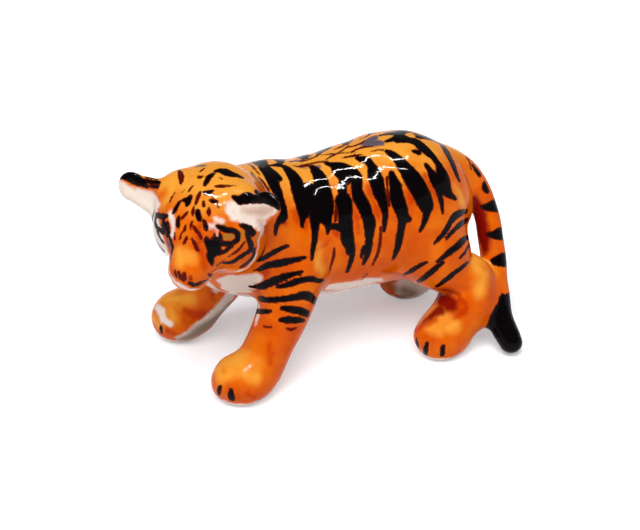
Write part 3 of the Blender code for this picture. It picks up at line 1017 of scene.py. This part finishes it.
# Washes of colour, with the painted light and the painted shade among them.
WASHES_LIGHT_AND_SHADE = (
    Pattern(Coat.RUST, Area.BODY, """
        384 271 2, 392 273 3.4, 402 276 3, 412 282 3, 424 288 3;
        281 222 2, 285 223 2.4;
        295 212 3, 297 220 3;
        306 221 1.6, 306 228 1.4;
        329 186 2, 335 187 2;
        333 231 2, 338 235 2;
        355 208 2, 357 220 3, 359 232 2.6;
        368 186 2, 372 197 2.4, 377 208 3, 378 216 2;
        350 187 1, 350 193 1.2;
        408 192 2.4, 412 202 3;
        425 175 1.6, 430 185 1.6, 435 195 1.6;
        318 250 1, 330 240 2;
        263 266 3, 266 273 3, 262 279 2"""),
    Pattern(Coat.CRIMSON, Area.TAIL, """
        474 199 5, 478 209 7.4, 480 222 9, 482 234 9, 484 245 7, 484 251 3.4""", twin=False),
    Pattern(Coat.CRIMSON, Area.LEG, """
        436 292 5, 441 298 8, 448 303 9, 453 308 5;
        440 310 7, 431 315 5, 424 320 3;
        434 289 2, 446 290.5 3.4, 458 294 2"""),
    Pattern(Coat.RUST, Area.LEG, """
        419 318 3, 416 330 3.6, 424 324 5, 436 320 4;
        460 300 4, 466 308 4, 458 316 4;
        269 346 1.5, 270 356 2, 271 364 1.5;
        248 393 2, 254 398 1.8;
        248 288 1, 258 290 2"""),
    Pattern(Coat.RUST, Area.LEG, """
        186 311 4, 196 315 5.6, 206 314.5 4.8, 213 310 2.4;
        184 318 2.6, 185 322 1.6;
        212 293 2.4, 213 300 3;
        168 330 3.4, 173 333.5 2.8""", twin=False),
    Pattern(Coat.RUST, Area.FACE, """
        200 226 1.6, 199 244 1.6, 202 256 3, 205 266 3;
        190 280 2, 188 284 1.4""", twin=False),
    Pattern(Coat.SMOKE, Area.FACE, """
        197.5 166 2, 204 165.3 2.4;
        158.5 209.5 0.7, 159 215 0.9;
        166.5 238 2, 168.5 244 2.2, 169.7 250 1.5""", twin=False),
    Pattern(Coat.SMOKE, Area.BODY, """
        365 143.5 5, 370 140 6.5, 375 136.5 4.4;
        303 158.5 2.4, 309 156.5 3;
        291 161.5 1.2, 298 159.5 1"""),
    Pattern(Coat.OCHRE, Area.FACE, """
        224.5 236.5 2.4, 228 236.5 3.4, 231.5 236 3;
        242 232 1.5, 242 240 1.6;
        256.6 237 1.1, 257.6 242 1;
        221 223.5 1.2, 227 224.5 1;
        217 272 2, 222 273.5 1"""),
    # Pinkish brown in the near ear's hollow: the ear's pink inside, with the shade in the hollow
    # painted into it.
    Pattern(Coat.BLUSH_AND_SHADE, Area.FACE, """
        243 209 2, 253 212 4, 263 212 4.6, 271 209 3;
        259 220 3, 262 227 2.4""", twin=False),
    # Painted shade: a grey-brown laid under the right front leg and in the crease where the belly
    # meets the left hind leg.
    Pattern(Coat.PAINTED_SHADE, Area.LEG, """
        229 304 3, 223 311 5, 214 320 7, 203 329 8, 190 336 7, 180 340 4;
        404 290 6, 412 294 7, 400 298 5;
        388 286 3, 396 289 4""", twin=False),
    # Painted light: a lighter yellow-orange on the lit tops and fronts of the legs and paws, and a
    # painted highlight across the left front paw.
    Pattern(Coat.PAINTED_LIGHT, Area.LEG, """
        157 301 5, 166 299 7, 178 298 7, 190 299 5.4;
        151 306 5, 152 316 5, 158 326 4;
        170 309 5, 174 318 4;
        219 368 5, 222 378 6, 230 374 5;
        244 374 4, 256 377 5;
        478 268 6, 484 278 7, 478 292 5;
        448 328 5, 456 324 5""", twin=False),
    # Painted light: a lighter yellow-orange on the forehead, the top of the head and the bridge of
    # the muzzle, which face up.
    Pattern(Coat.PAINTED_LIGHT, Area.FACE, """
        163 184 7, 172 179 8, 172 192 8, 166 200 6;
        178 250 3, 180 258 5, 180 266 4;
        228 193 4, 238 187 7, 246 178 6;
        190 180 6, 206 184 6, 222 192 6;
        188 168 4, 198 172 5, 212 168 3""", twin=False),
    # Painted highlights: a lighter yellow-orange along the nape and on the upper and lower flank,
    # and a painted reflection down the edge of the haunch.
    Pattern(Coat.PAINTED_LIGHT, Area.BODY, """
        250 162 5, 255 171 4, 260 182 2;
        277 171 3, 282 179 3;
        301 172 3, 307 179 3;
        455 186 2, 461 196 4, 464 206 3;
        320 246 2, 318 262 3, 322 272 3"""),
)


BRUSHWORK_LIGHT_AND_SHADE = (FLANK, FLANK_LINES, THIGH, SHOULDER, SHOULDER_LINES, CLAWS_FRONT, CLAWS_FAR_FRONT,
             CLAWS_HIND, TAIL_BANDS, HEEL_MARK, FOREHEAD, NOSE, FACE_INK, EYE_CORNER, EYE,
             EAR_INK, FAR_EAR_INK, FAR_CHEEK, CREAM_FACE, CREAM_BODY, CREAM_LEGS, *WASHES_LIGHT_AND_SHADE)


@dataclass(frozen=True)
class Relief:
    """Grooves and ridges pressed into the clay along lines without width.

    Height and spread are in mm, and a groove's height is negative.
    """

    area: Area
    rows: str
    height: float
    spread: float

    def strokes(self) -> list:
        """Return the lines as strokes, which are laid but not painted."""
        return [Stroke(Coat.INK, self.area, row) for row in read_rows(self.rows)]


RELIEFS = (
    Relief(Area.FACE, "188 283 0, 195 286 0, 202 285 0, 209 283 0", -0.16, 0.42),
    Relief(Area.FACE, "176 279 0, 181 281 0, 186 281 0", -0.12, 0.4),
    Relief(Area.FACE, "213 238 0, 220 240 0, 230 238 0", -0.3, 0.95),
    Relief(Area.FACE, "219 236 0, 224 237 0, 229 236.5 0", 0.26, 0.6),
    Relief(Area.FACE, "207 224 0, 216 222 0, 226 223 0, 236 227 0", 0.2, 0.9),
    Relief(Area.LEG, """
        226 387 0, 225 394 0, 224 400 0;
        240 391 0, 241 397 0, 241 403 0;
        421 340 0, 420 346 0, 420 351 0;
        435 343 0, 434 349 0, 434 355 0;
        451 343 0, 451 349 0, 450 354 0""", -0.16, 0.45),
)


class Painter:
    """Lays brush strokes on the clay and reads each coat at any point.

    The far eye is turned outwards by some degrees. The colour bleeds into the
    glaze: fine lines get wider by the bleed, in mm, and the broad strokes were
    laid narrower than they look. Fine and broad are half widths in pixels.
    A stroke is looked for up to reach from its path, in mm. The tail's tip is
    black below a plane that slants down to the side.
    """

    far_eye_turn = 2.0
    bleed = 0.05
    fine, broad = 1.5, 4.0
    reach = 4.5
    turned_away = 0.15
    tip_height, tip_slant, tip_side = 7.9, 0.35, -9.5

    def __init__(self, form: CubForm, view: View) -> None:
        """Keep the form and the view that the strokes were read from."""
        self.form = form
        self.view = view
        self.surfaces = {Area.BODY: form.body, Area.LEG: form.body, Area.FACE: form.face,
                         Area.TAIL: form.tail.distance}

    def other_side(self, area: Area, points: np.ndarray) -> np.ndarray:
        """Return points carried to the cub's other side.

        On the face the offset along the head's left axis changes sign, and the
        point turns a little round the head, because the far eye was painted
        further out. On the trunk the offset from the middle plane changes
        sign. On a leg the offset from the nearest station is turned over and
        carried to the same station of the other leg, at that station's size.

        Args:
            area: The mass the points lie on.
            points: The points, in mm.

        Returns:
            The points on the other side.
        """
        if area is Area.FACE:
            return self.form.head.mirror(points, math.radians(self.far_eye_turn))
        flip = np.array([1.0, -1.0, 1.0])
        if area is not Area.LEG:
            return points * flip
        form = self.form
        fore = points[:, :1] < 0.0
        pairs = ((form.front_left, form.front_right), (form.hind_left, form.hind_right))
        moved = []
        for left, right in pairs:
            here, there = (curve_stations(leg.stations, 24) for leg in (left, right))
            apart = np.linalg.norm(points[:, None] - here[None, :, :3], axis=-1)
            nearest = apart.argmin(axis=1)
            matching = np.rint(nearest * (len(there) - 1) / (len(here) - 1)).astype(int)
            scale = there[matching, 3:] / here[nearest, 3:]
            moved.append(there[matching, :3] + (points - here[nearest, :3]) * flip * scale)
        return np.where(fore, moved[0], moved[1])

    def lay(self, strokes: list) -> list:
        """Lay strokes on the clay.

        Args:
            strokes: The strokes.

        Returns:
            For each stroke its painted paths, one or two arrays: place, half
            width in mm and normal.
        """
        paths = [[] for _ in strokes]
        for area in Area:
            here = [index for index, stroke in enumerate(strokes) if stroke.area is area]
            if not here:
                continue
            dense = [curve_stations(strokes[index].points, 5) for index in here]
            ends = np.cumsum([len(part) for part in dense])[:-1]
            every = np.vstack(dense)
            width = np.clip((every[:, 2:] - self.fine) / (self.broad - self.fine), 0.0, 1.0)
            half = every[:, 2:] * self.view.pixel + self.bleed * (1.0 - 2.0 * width)
            found = self.form.settle(self.view.touch(every[:, :2], self.surfaces[area]), 2)
            twins = self.form.settle(self.other_side(area, found), 4)
            for places, both in ((found, True), (twins, False)):
                rows = np.split(np.hstack([places, half, self.form.normal(places)]), ends)
                for index, row in zip(here, rows):
                    if both or strokes[index].twin:
                        paths[index].append(row)
        return paths

    @staticmethod
    def depth(places: np.ndarray, normals: np.ndarray, paths: list) -> np.ndarray:
        """Return how far inside the nearest stroke's edge each point lies.

        The stroke's half width at the nearest place on its path, less the
        distance to that place. Points that face away from the stroke are
        moved out, so that paint stays on its own side of a thin part.

        Args:
            places: The points, in mm.
            normals: Their normals.
            paths: The painted paths.

        Returns:
            The depth in mm, negative outside.
        """
        result = np.full(len(places), -DEEP)
        for path in paths:
            low = path[:, :3].min(axis=0) - Painter.reach
            high = path[:, :3].max(axis=0) + Painter.reach
            near = np.flatnonzero(np.all((places > low) & (places < high), axis=1))
            here, facing = places[near], normals[near]
            best = result[near]
            for start, end in zip(path[:-1], path[1:]):
                run = end[:3] - start[:3]
                share = np.clip((here - start[:3]) @ run / max(run @ run, 1e-9), 0.0, 1.0)
                gap = np.linalg.norm(here - start[:3] - share[:, None] * run, axis=1)
                away = np.maximum(Painter.turned_away - facing @ start[4:], 0.0)
                value = start[3] + share * (end[3] - start[3]) - gap - 4.0 * away
                best = np.maximum(best, value)
            result[near] = best
        return result

    def relief(self, places: np.ndarray, normals: np.ndarray) -> np.ndarray:
        """Return the height of the grooves and ridges at every point, in mm.

        Each line's height times the bell curve of the distance to it.

        Args:
            places: The points, in mm.
            normals: Their normals.

        Returns:
            The height, negative in grooves.
        """
        laid = iter(self.lay([stroke for item in RELIEFS for stroke in item.strokes()]))
        total = np.zeros(len(places))
        for item in RELIEFS:
            paths = [path for _ in item.strokes() for path in next(laid)]
            gap = self.depth(places, normals, paths)
            total += item.height * np.exp(-np.square(gap / item.spread))
        return total

    def coats(self, places: np.ndarray, normals: np.ndarray) -> dict:
        """Return the depth of every coat at every point.

        Args:
            places: The points, in mm.
            normals: Their normals.

        Returns:
            One array per coat.
        """
        strokes = [stroke for pattern in BRUSHWORK_LIGHT_AND_SHADE for stroke in pattern.strokes()]
        laid = self.lay(strokes)
        result = {}
        for coat in Coat:
            paths = [path for stroke, pair in zip(strokes, laid) if stroke.coat is coat
                     for path in pair]
            result[coat] = self.depth(places, normals, paths)
        result[Coat.INK] = np.maximum(result[Coat.INK], self.tail_tip(places))
        result[Coat.CREAM] = np.maximum(result[Coat.CREAM], self.undersides(places, normals))
        # Painted light: faces that look up get the lighter yellow-orange, as if lit from above.
        top = np.clip(4.0 * (normals[:, 2] - 0.72), -DEEP, 1.5)
        result[Coat.PAINTED_LIGHT] = np.maximum(result[Coat.PAINTED_LIGHT], top)
        return result

    def tail_tip(self, places: np.ndarray) -> np.ndarray:
        """Return how deep in the black tail tip each point is, in mm.

        The height below a slanted plane across the tail, for points that lie
        nearer to the tail than to the legs.

        Args:
            places: The points, in mm.

        Returns:
            The depth in mm.
        """
        nearer = self.form.body(places) - self.form.tail.distance(places)
        slant = self.tip_slant * (places[:, 1] - self.tip_side)
        below = self.tip_height - places[:, 2] - slant
        return np.clip(np.minimum(below, nearer), -DEEP, DEEP)

    def undersides(self, places: np.ndarray, normals: np.ndarray) -> np.ndarray:
        """Return the depth of the cream that was left on the undersides.

        Cream is where the surface faces down, on the lower inner faces of the
        legs, on the chest between the front legs and under the chin. Each is
        the normal's share that way, less a limit, times 4 or 5 mm, and it
        fades with the height or the distance from its own part.

        Args:
            places: The points, in mm.
            normals: Their normals.

        Returns:
            The depth in mm.
        """
        head = self.form.face(places) < self.form.body(places)
        inward = -np.sign(places[:, 1]) * normals[:, 1]
        x, y, z = places.T
        high = np.clip((z - 12.0) / 3.0, 0.0, 1.0)
        belly = 5.0 * (-normals[:, 2] - 0.62 - 0.13 * high)
        belly -= np.clip((z - 9.0) / 2.0, 0.0, 1.0) * np.maximum(x - 6.0, 0.0)
        inner = 4.0 * (inward - 0.72) - np.maximum(z - 15.0, 0.0)
        inner = np.where(x * y > 0.0, inner, inner - 0.6)
        inner -= np.where((x < 0.0) & (y > 0.0), 4.0, 0.0)
        chest = 4.0 * (-normals[:, 0] - 0.3) - 1.5 * np.maximum(np.abs(y) - 3.0, 0.0)
        chest -= 1.5 * np.maximum(z - 20.0, 0.0) + 0.6 * np.maximum(x + 4.0, 0.0)
        chin = 4.0 * (-normals @ self.form.head.up - 0.7)
        body = np.maximum(np.maximum(belly, inner), chest)
        return np.clip(np.where(head, chin, body), -DEEP, DEEP)


def linear(code: str, alpha: float = 1.0) -> tuple:
    """Turn an sRGB hex colour into linear values.

    Args:
        code: The colour, as a hash and six digits.
        alpha: The fourth value.

    Returns:
        Red, green, blue and alpha.
    """
    values = np.array([int(code[i:i + 2], 16) for i in (1, 3, 5)]) / 255.0
    straight = np.where(values <= 0.04045, values / 12.92, ((values + 0.055) / 1.055) ** 2.4)
    return (*(float(value) for value in straight), alpha)


def node(tree: bpy.types.NodeTree, kind: str, settings: dict | None = None,
         inputs: dict | None = None) -> bpy.types.Node:
    """Add a node with its settings and links.

    Args:
        tree: The tree to add to.
        kind: The node's type.
        settings: Values of the node's own properties.
        inputs: For each input, by name or number, a value or a socket to link.

    Returns:
        The node.
    """
    made = tree.nodes.new(kind)
    for name, value in (settings or {}).items():
        setattr(made, name, value)
    for name, value in (inputs or {}).items():
        if isinstance(value, bpy.types.NodeSocket):
            tree.links.new(value, made.inputs[name])
        else:
            made.inputs[name].default_value = value
    return made


def noise(tree: bpy.types.NodeTree, place: bpy.types.NodeSocket, size: float,
          detail: float) -> bpy.types.NodeSocket:
    """Return a noise with grains of the size, in mm."""
    made = node(tree, "ShaderNodeTexNoise", None,
                {"Vector": place, "Scale": 1.0 / (size * MM), "Detail": detail})
    return made.outputs[0]


def arithmetic(tree: bpy.types.NodeTree, operation: str,
               *values: float | bpy.types.NodeSocket) -> bpy.types.NodeSocket:
    """Return the result of a math node."""
    made = node(tree, "ShaderNodeMath", {"operation": operation}, dict(enumerate(values)))
    return made.outputs[0]


def blank_tree(block: bpy.types.ID) -> bpy.types.NodeTree:
    """Return the emptied node tree of a material or a world."""
    block.use_nodes = True
    block.node_tree.nodes.clear()
    return block.node_tree


def put(name: str, data: bpy.types.ID) -> bpy.types.Object:
    """Return a new object in the scene."""
    item = bpy.data.objects.new(name, data)
    bpy.context.scene.collection.objects.link(item)
    return item


def stand(item: bpy.types.Object, axes: np.ndarray, place: np.ndarray) -> None:
    """Set an object's place and its axes, one per row."""
    rows = np.column_stack([np.transpose(axes), place])
    item.matrix_world = Matrix(rows.tolist() + [[0.0, 0.0, 0.0, 1.0]])


@dataclass(frozen=True)
class Layer:
    """One coat of colour in the finish.

    Edge is half the width of its soft edge, fray how far the edge wanders,
    grain the size of that wandering and shift how far the edge is moved
    outwards, all in mm. Strength is how much it covers.
    """

    coat: Coat
    colour: str
    edge: float
    fray: float
    grain: float
    strength: float = 1.0
    shift: float = 0.0


@dataclass(frozen=True)
class GlazedEarthenware:
    """Underglaze brushwork on white earthenware, fired under a clear glaze.

    The glaze is glass, so its IOR is about 1.5 and it is nearly mirror smooth,
    which gives the thin bright lines. It lies in gentle waves, so the lines
    waver. Its specular level is low, so that the black paint stays deep black
    among white surroundings. The orange is brushed on in thin washes and
    varies from light orange to red-orange over a few millimetres. Some layers
    are painted light and shade: a lighter yellow-orange where the cub faces up
    and as highlights, a grey-brown shade on the undersides, and a pinkish brown
    that also paints the shade in the near ear's hollow. The layers are in the
    order in which they are laid. Sizes are in mm.
    """

    name: str = "glazed_earthenware"
    orange: str = "#D05702"
    light_orange: str = "#D96806"
    deep_orange: str = "#C64B02"
    wash_size: float = 4.5
    ior: float = 1.5
    specular: float = 0.06
    smoothest: float = 0.03
    roughest: float = 0.08
    wave_size: float = 1.6
    wave_height: float = 0.12
    wave_strength: float = 0.35
    wash_stops: tuple = (0.34, 0.5, 0.66)
    layers: tuple = (
        # Painted light: lighter yellow-orange on the upward faces and the painted highlights.
        Layer(Coat.PAINTED_LIGHT, "#E69B34", 1.1, 1.1, 3.2, 0.9),
        Layer(Coat.OCHRE, "#9A7020", 0.3, 0.4, 1.0, 0.85),
        Layer(Coat.RUST, "#B02A00", 0.55, 0.8, 1.6, 0.8),
        Layer(Coat.CRIMSON, "#750303", 0.55, 0.6, 1.6, 0.97),
        Layer(Coat.CREAM, "#DFCFC0", 0.35, 0.5, 1.3),
        # Pink of the near ear's inside, darkened to paint the shade in its hollow.
        Layer(Coat.BLUSH_AND_SHADE, "#B07A60", 0.6, 0.6, 1.6, 0.6),
        # Painted shade on the undersides.
        Layer(Coat.PAINTED_SHADE, "#6E533A", 0.9, 0.6, 2.4, 0.8),
        Layer(Coat.SMOKE, "#45485C", 0.3, 0.3, 0.8, 0.94),
        Layer(Coat.UMBER, "#560A02", 0.1, 0.16, 0.45),
        Layer(Coat.INK, "#4A0F04", 0.1, 0.22, 0.6, shift=0.13),
        Layer(Coat.INK, "#060304", 0.08, 0.17, 0.42, shift=-0.02),
    )

    @staticmethod
    def mask(tree: bpy.types.NodeTree, place: bpy.types.NodeSocket,
             layer: Layer) -> bpy.types.NodeSocket:
        """Return where a coat covers the surface, from 0 to 1.

        Args:
            tree: The material's tree.
            place: The object coordinates.
            layer: The coat.

        Returns:
            The socket with the cover.
        """
        depth = node(tree, "ShaderNodeAttribute", {"attribute_name": layer.coat.value})
        ragged = arithmetic(tree, "MULTIPLY_ADD", noise(tree, place, layer.grain, 3.0),
                            2.0 * layer.fray, layer.shift - layer.fray)
        total = arithmetic(tree, "ADD", depth.outputs["Fac"], ragged)
        cover = node(tree, "ShaderNodeMapRange", {"interpolation_type": "SMOOTHSTEP"},
                     {"Value": total, "From Min": -layer.edge, "From Max": layer.edge,
                      "To Max": layer.strength})
        return cover.outputs["Result"]

    def build(self) -> bpy.types.Material:
        """Return the finished material."""
        material = bpy.data.materials.new(self.name)
        tree = blank_tree(material)
        place = node(tree, "ShaderNodeTexCoord").outputs["Object"]
        wash = noise(tree, place, self.wash_size, 4.0)
        ramp = node(tree, "ShaderNodeValToRGB", None, {"Fac": wash})
        stops = ramp.color_ramp.elements
        stops[0].position, stops[1].position = self.wash_stops[0], self.wash_stops[2]
        stops[0].color, stops[1].color = linear(self.deep_orange), linear(self.light_orange)
        stops.new(self.wash_stops[1]).color = linear(self.orange)
        colour = ramp.outputs["Color"]
        for layer in self.layers:
            cover = self.mask(tree, place, layer)
            colour = self.over(tree, colour, linear(layer.colour), cover)
        bump = node(tree, "ShaderNodeBump", None,
                    {"Height": noise(tree, place, self.wave_size, 2.0),
                     "Strength": self.wave_strength, "Distance": self.wave_height * MM})
        gloss = node(tree, "ShaderNodeMapRange", None,
                     {"Value": wash, "To Min": self.smoothest, "To Max": self.roughest})
        shader = node(tree, "ShaderNodeBsdfPrincipled", None,
                      {"Base Color": colour, "Roughness": gloss.outputs["Result"],
                       "IOR": self.ior, "Specular IOR Level": self.specular,
                       "Normal": bump.outputs["Normal"]})
        node(tree, "ShaderNodeOutputMaterial", None, {"Surface": shader.outputs["BSDF"]})
        return material

    @staticmethod
    def over(tree: bpy.types.NodeTree, under: bpy.types.NodeSocket, colour: tuple,
             cover: bpy.types.NodeSocket) -> bpy.types.NodeSocket:
        """Return a colour laid over another where its coat covers."""
        mix = node(tree, "ShaderNodeMix", {"data_type": "RGBA"},
                   {"Factor": cover, "A": under, "B": colour})
        return mix.outputs["Result"]


@dataclass
class Cub:
    """The finished cub: its fine surface, its relief and its paint.

    Each ripple is a wave's three slopes, in radians per mm, and its height.
    """

    form: CubForm
    view: View
    ripples: tuple = ((1.1, 0.7, 0.4, 0.035), (-0.5, 0.9, 0.8, 0.03), (0.3, -0.6, 1.2, 0.03))
    sole: float = 0.02

    def ripple(self, places: np.ndarray) -> np.ndarray:
        """Return the hand-modelled unevenness of the clay, in mm.

        Three slow waves along slanted directions, 5 to 9 mm long, of a few
        hundredths of a millimetre each.
        """
        return sum(height * np.sin(places @ np.array([a, b, c]) + a)
                   for a, b, c, height in self.ripples)

    def mesh(self, painter: Painter) -> tuple:
        """Work out the fine surface with its ripple and its relief.

        Args:
            painter: The painter, who also lays the lines of the relief.

        Returns:
            The vertices in mm, their normals before the relief, the squares.
        """
        places, squares = Skin(self.form).net()
        places = self.form.settle(places, 1)
        normals = self.form.normal(places)
        height = self.ripple(places) + painter.relief(places, normals)
        raised = places + normals * height[:, None]
        flat = places[:, 2] < self.sole
        raised[:, 2] = np.where(flat, places[:, 2], np.maximum(raised[:, 2], 0.0))
        return raised, normals, squares

    def build(self) -> tuple:
        """Build the cub's object.

        Returns:
            The object and the shift from the modeller's frame, in mm.
        """
        painter = Painter(self.form, self.view)
        places, normals, squares = self.mesh(painter)
        low, high = (np.array(corner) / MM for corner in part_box(NODE))
        shift = 0.5 * (low + high) - 0.5 * (places.min(axis=0) + places.max(axis=0))
        shift[2] = low[2] - places[:, 2].min()
        mesh = bpy.data.meshes.new("glazed_cub")
        mesh.vertices.add(len(places))
        mesh.vertices.foreach_set("co", ((places + shift) * MM).astype(np.float32).ravel())
        mesh.loops.add(squares.size)
        mesh.loops.foreach_set("vertex_index", squares.astype(np.int32).ravel())
        mesh.polygons.add(len(squares))
        mesh.polygons.foreach_set("loop_start", np.arange(0, squares.size, 4, dtype=np.int32))
        mesh.update(calc_edges=True)
        mesh.shade_smooth()
        for coat, depth in painter.coats(places, normals).items():
            layer = mesh.attributes.new(coat.value, "FLOAT", "POINT")
            layer.data.foreach_set("value", depth.astype(np.float32))
        mesh.materials.append(GlazedEarthenware().build())
        return put("glazed_cub", mesh), shift


class Studio:
    """A round white sweep, soft light from above and two thin lamps.

    The sweep is flat to flat_radius, bends up with bend and ends at wall_top,
    in metres. Aim is where the lamps look.
    """

    flat_radius, bend, wall_top = 1.4, 0.2, 0.45
    bend_steps, turns = 13, 96
    glow = 0.3
    sky_strength = 0.28
    aim = (0.0, 0.0, 0.02)
    sensor = 36.0

    def __init__(self, view: View, shift: np.ndarray) -> None:
        """Keep the view and the cub's shift from the modeller's frame."""
        self.view = view
        self.shift = shift

    def floor(self) -> bpy.types.Object:
        """Return the round floor, whose edge rises into a low wall.

        The profile runs flat, bends through a quarter circle and goes
        straight up. It is turned once round the z axis.
        """
        angle = np.linspace(0.0, 0.5 * math.pi, self.bend_steps)
        edge = self.flat_radius + self.bend
        curve = self.flat_radius + self.bend * np.sin(angle)
        radius = np.concatenate([[0.0, 0.4, 0.9], curve, [edge]])
        rise = self.bend * (1.0 - np.cos(angle))
        height = np.concatenate([np.zeros(3), rise, [self.wall_top]])
        turns = self.turns
        turn = np.linspace(0.0, 2.0 * math.pi, turns, endpoint=False)[:, None]
        ring = np.stack([radius * np.cos(turn), radius * np.sin(turn),
                         np.broadcast_to(height, (turns, len(height)))], axis=-1)
        points = np.vstack([[[0.0, 0.0, 0.0]], ring[:, 1:].reshape(-1, 3)])
        rows = len(radius) - 1
        here = 1 + rows * np.arange(turns)
        there = np.roll(here, -1)
        middle = np.stack([np.zeros(turns, int), here, there], axis=1).tolist()
        step = np.arange(rows - 1)
        bands = np.stack([here[:, None] + step, here[:, None] + step + 1,
                          there[:, None] + step + 1, there[:, None] + step], axis=-1)
        mesh = bpy.data.meshes.new("sweep")
        mesh.from_pydata(points.tolist(), [], middle + bands.reshape(-1, 4).tolist())
        mesh.shade_smooth()
        mesh.materials.append(self.paper())
        return put("sweep", mesh)

    def paper(self) -> bpy.types.Material:
        """Return matt white paper that looks fully white where no shadow falls."""
        material = bpy.data.materials.new("white_paper")
        tree = blank_tree(material)
        matt = node(tree, "ShaderNodeBsdfDiffuse", None, {"Color": linear("#F3F2F5")})
        path = node(tree, "ShaderNodeLightPath")
        seen = arithmetic(tree, "MAXIMUM", path.outputs["Is Camera Ray"],
                          path.outputs["Is Glossy Ray"])
        seen = arithmetic(tree, "MAXIMUM", seen, path.outputs["Is Transmission Ray"])
        glow = node(tree, "ShaderNodeEmission", None,
                    {"Color": linear("#FFFFFF"),
                     "Strength": arithmetic(tree, "MULTIPLY", seen, self.glow)})
        both = node(tree, "ShaderNodeAddShader", None,
                    {0: matt.outputs[0], 1: glow.outputs[0]})
        node(tree, "ShaderNodeOutputMaterial", None, {"Surface": both.outputs[0]})
        return material

    def world(self) -> None:
        """Light the scene evenly from all around."""
        world = bpy.data.worlds.new("studio")
        tree = blank_tree(world)
        sky = node(tree, "ShaderNodeBackground", None,
                   {"Color": linear("#F4F6FF"), "Strength": self.sky_strength})
        node(tree, "ShaderNodeOutputWorld", None, {"Surface": sky.outputs[0]})
        bpy.context.scene.world = world

    @staticmethod
    def lamp(name: str, place: tuple, size: tuple, power: float,
             turn: float = 0.0) -> bpy.types.Object:
        """Add a rectangular lamp that looks at the cub.

        Args:
            name: The lamp's name.
            place: Where it is, in metres.
            size: Its length and width, in metres.
            power: Its power, in watts.
            turn: The angle of its length from the X axis, in degrees.

        Returns:
            The lamp.
        """
        light = bpy.data.lights.new(name, "AREA")
        light.shape = "RECTANGLE"
        light.size, light.size_y = size
        light.energy = power
        back = unit(np.array(place) - np.array(Studio.aim))
        along = np.array([math.cos(math.radians(turn)), math.sin(math.radians(turn)), 0.0])
        across = unit(along - (along @ back) * back)
        item = put(name, light)
        stand(item, np.stack([across, np.cross(back, across), back]), np.array(place))
        return item

    def lamps(self) -> None:
        """Add the soft main light and the two thin lamps that draw the lines.

        The main light is kept out of the glaze and the thin lamps out of the
        colours, so that each does one job.
        """
        soft = self.lamp("soft_top", (-0.3, -0.5, 1.1), (0.9, 0.9), 17.0)
        soft.visible_glossy = False
        for name, side, depth in (("thin_front", 0.17, -0.25), ("thin_back", 0.15, 0.08)):
            thin = self.lamp(name, (side, depth, 0.75), (0.46, 0.01), 12.0, -26.0)
            thin.visible_diffuse = False

    def camera(self) -> None:
        """Add the camera at the photograph's angle."""
        data = bpy.data.cameras.new("view")
        data.sensor_width = self.sensor
        data.lens = self.view.lens(self.sensor)
        data.clip_start, data.clip_end = 0.01, 20.0
        item = put("view", data)
        stand(item, self.view.axes(), (self.view.eye() + self.shift) * MM)
        bpy.context.scene.camera = item


def main() -> None:
    """Build the cub and its studio."""
    logging.basicConfig(level=logging.INFO)
    bpy.context.scene.view_settings.view_transform = "Standard"
    view = View()
    cub, shift = Cub(CubForm(), view).build()
    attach(cub, "root")
    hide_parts(NODE)
    LOG.info("%s: %d vertices, shift %s mm", cub.name, len(cub.data.vertices), shift.round(3))
    studio = Studio(view, shift)
    studio.floor()
    studio.world()
    studio.lamps()
    studio.camera()


if __name__ == "__main__":
    main()
